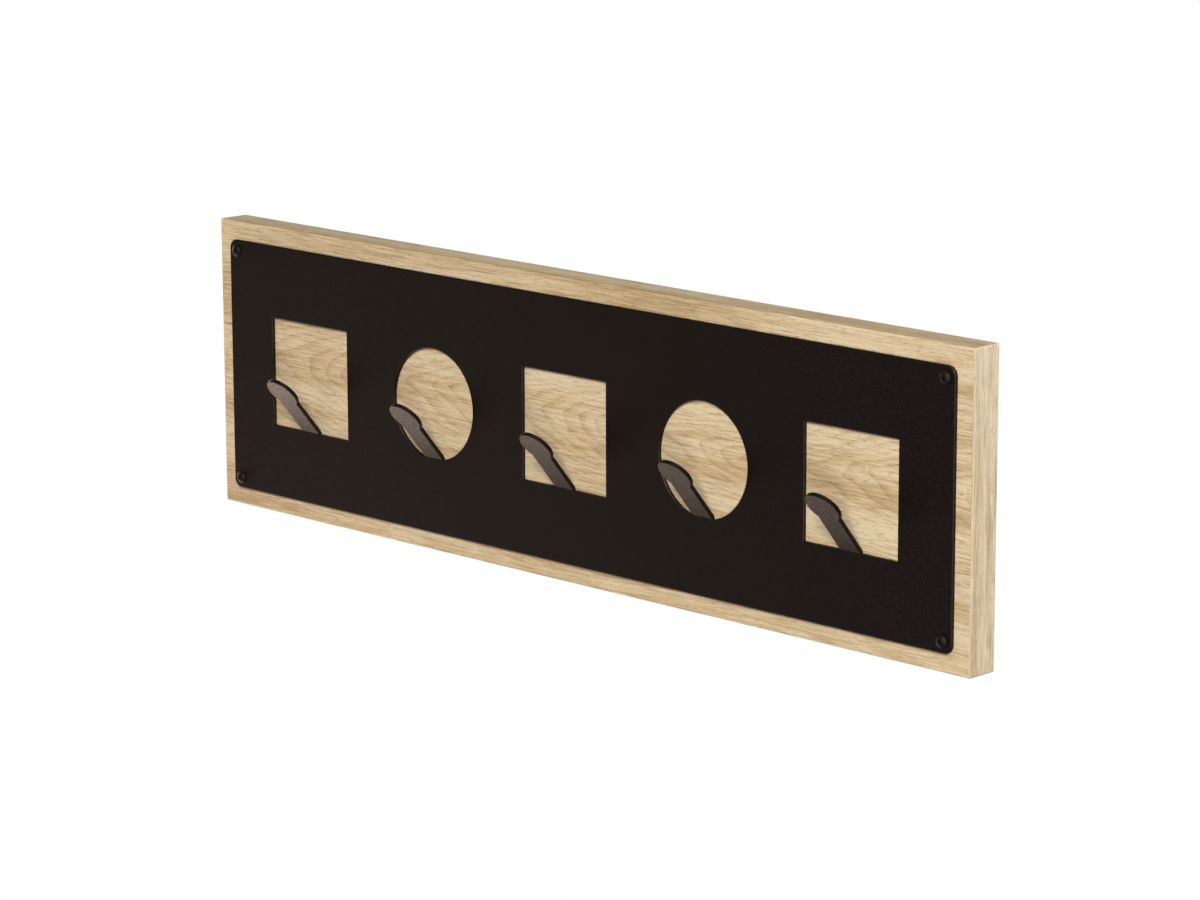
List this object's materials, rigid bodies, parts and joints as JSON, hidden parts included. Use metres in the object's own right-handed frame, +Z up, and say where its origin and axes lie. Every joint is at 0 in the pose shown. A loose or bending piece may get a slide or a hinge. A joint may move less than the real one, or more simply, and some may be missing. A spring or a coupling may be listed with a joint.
{
  "type": "wall hook rack",
  "caption": "Wall hook rack: a light oak board carries a black sheet-metal plate with square and round windows, each with a round-headed hook bent out of it.",
  "frame": {"origin": "centre of the board's back face, which lies on the wall", "axes": "+X to the right along the board as a person facing the hooks sees it, +Y into the wall, +Z up"},
  "size_m": [0.54, 0.0469, 0.16],
  "materials": {
    "particleboard": "raw chipboard",
    "oak_laminate": "matte laminate with lengthwise oak grain",
    "oak_edge_band": "matte edge band with oak grain",
    "black_powder_coat": "fine matte powder coat on steel sheet",
    "black_screw": "satin black",
    "zinc_plated_steel": "bright zinc plating",
    "zinc_plated_screw": "bright zinc plating"
  },
  "bodies": {
    "root": {"board_core": "particleboard", "front_laminate": "oak_laminate", "back_laminate": "oak_laminate", "top_edge_band": "oak_edge_band", "bottom_edge_band": "oak_edge_band", "left_edge_band": "oak_edge_band", "right_edge_band": "oak_edge_band", "hook_plate": "black_powder_coat", "plate_screw_top_left": "black_screw", "plate_screw_bottom_left": "black_screw", "plate_screw_top_right": "black_screw", "plate_screw_bottom_right": "black_screw", "hanger_plate_left": "zinc_plated_steel", "hanger_plate_right": "zinc_plated_steel", "hanger_screw_left_inner": "zinc_plated_screw", "hanger_screw_left_outer": "zinc_plated_screw", "hanger_screw_right_inner": "zinc_plated_screw", "hanger_screw_right_outer": "zinc_plated_screw"}
  },
  "joints": []
}
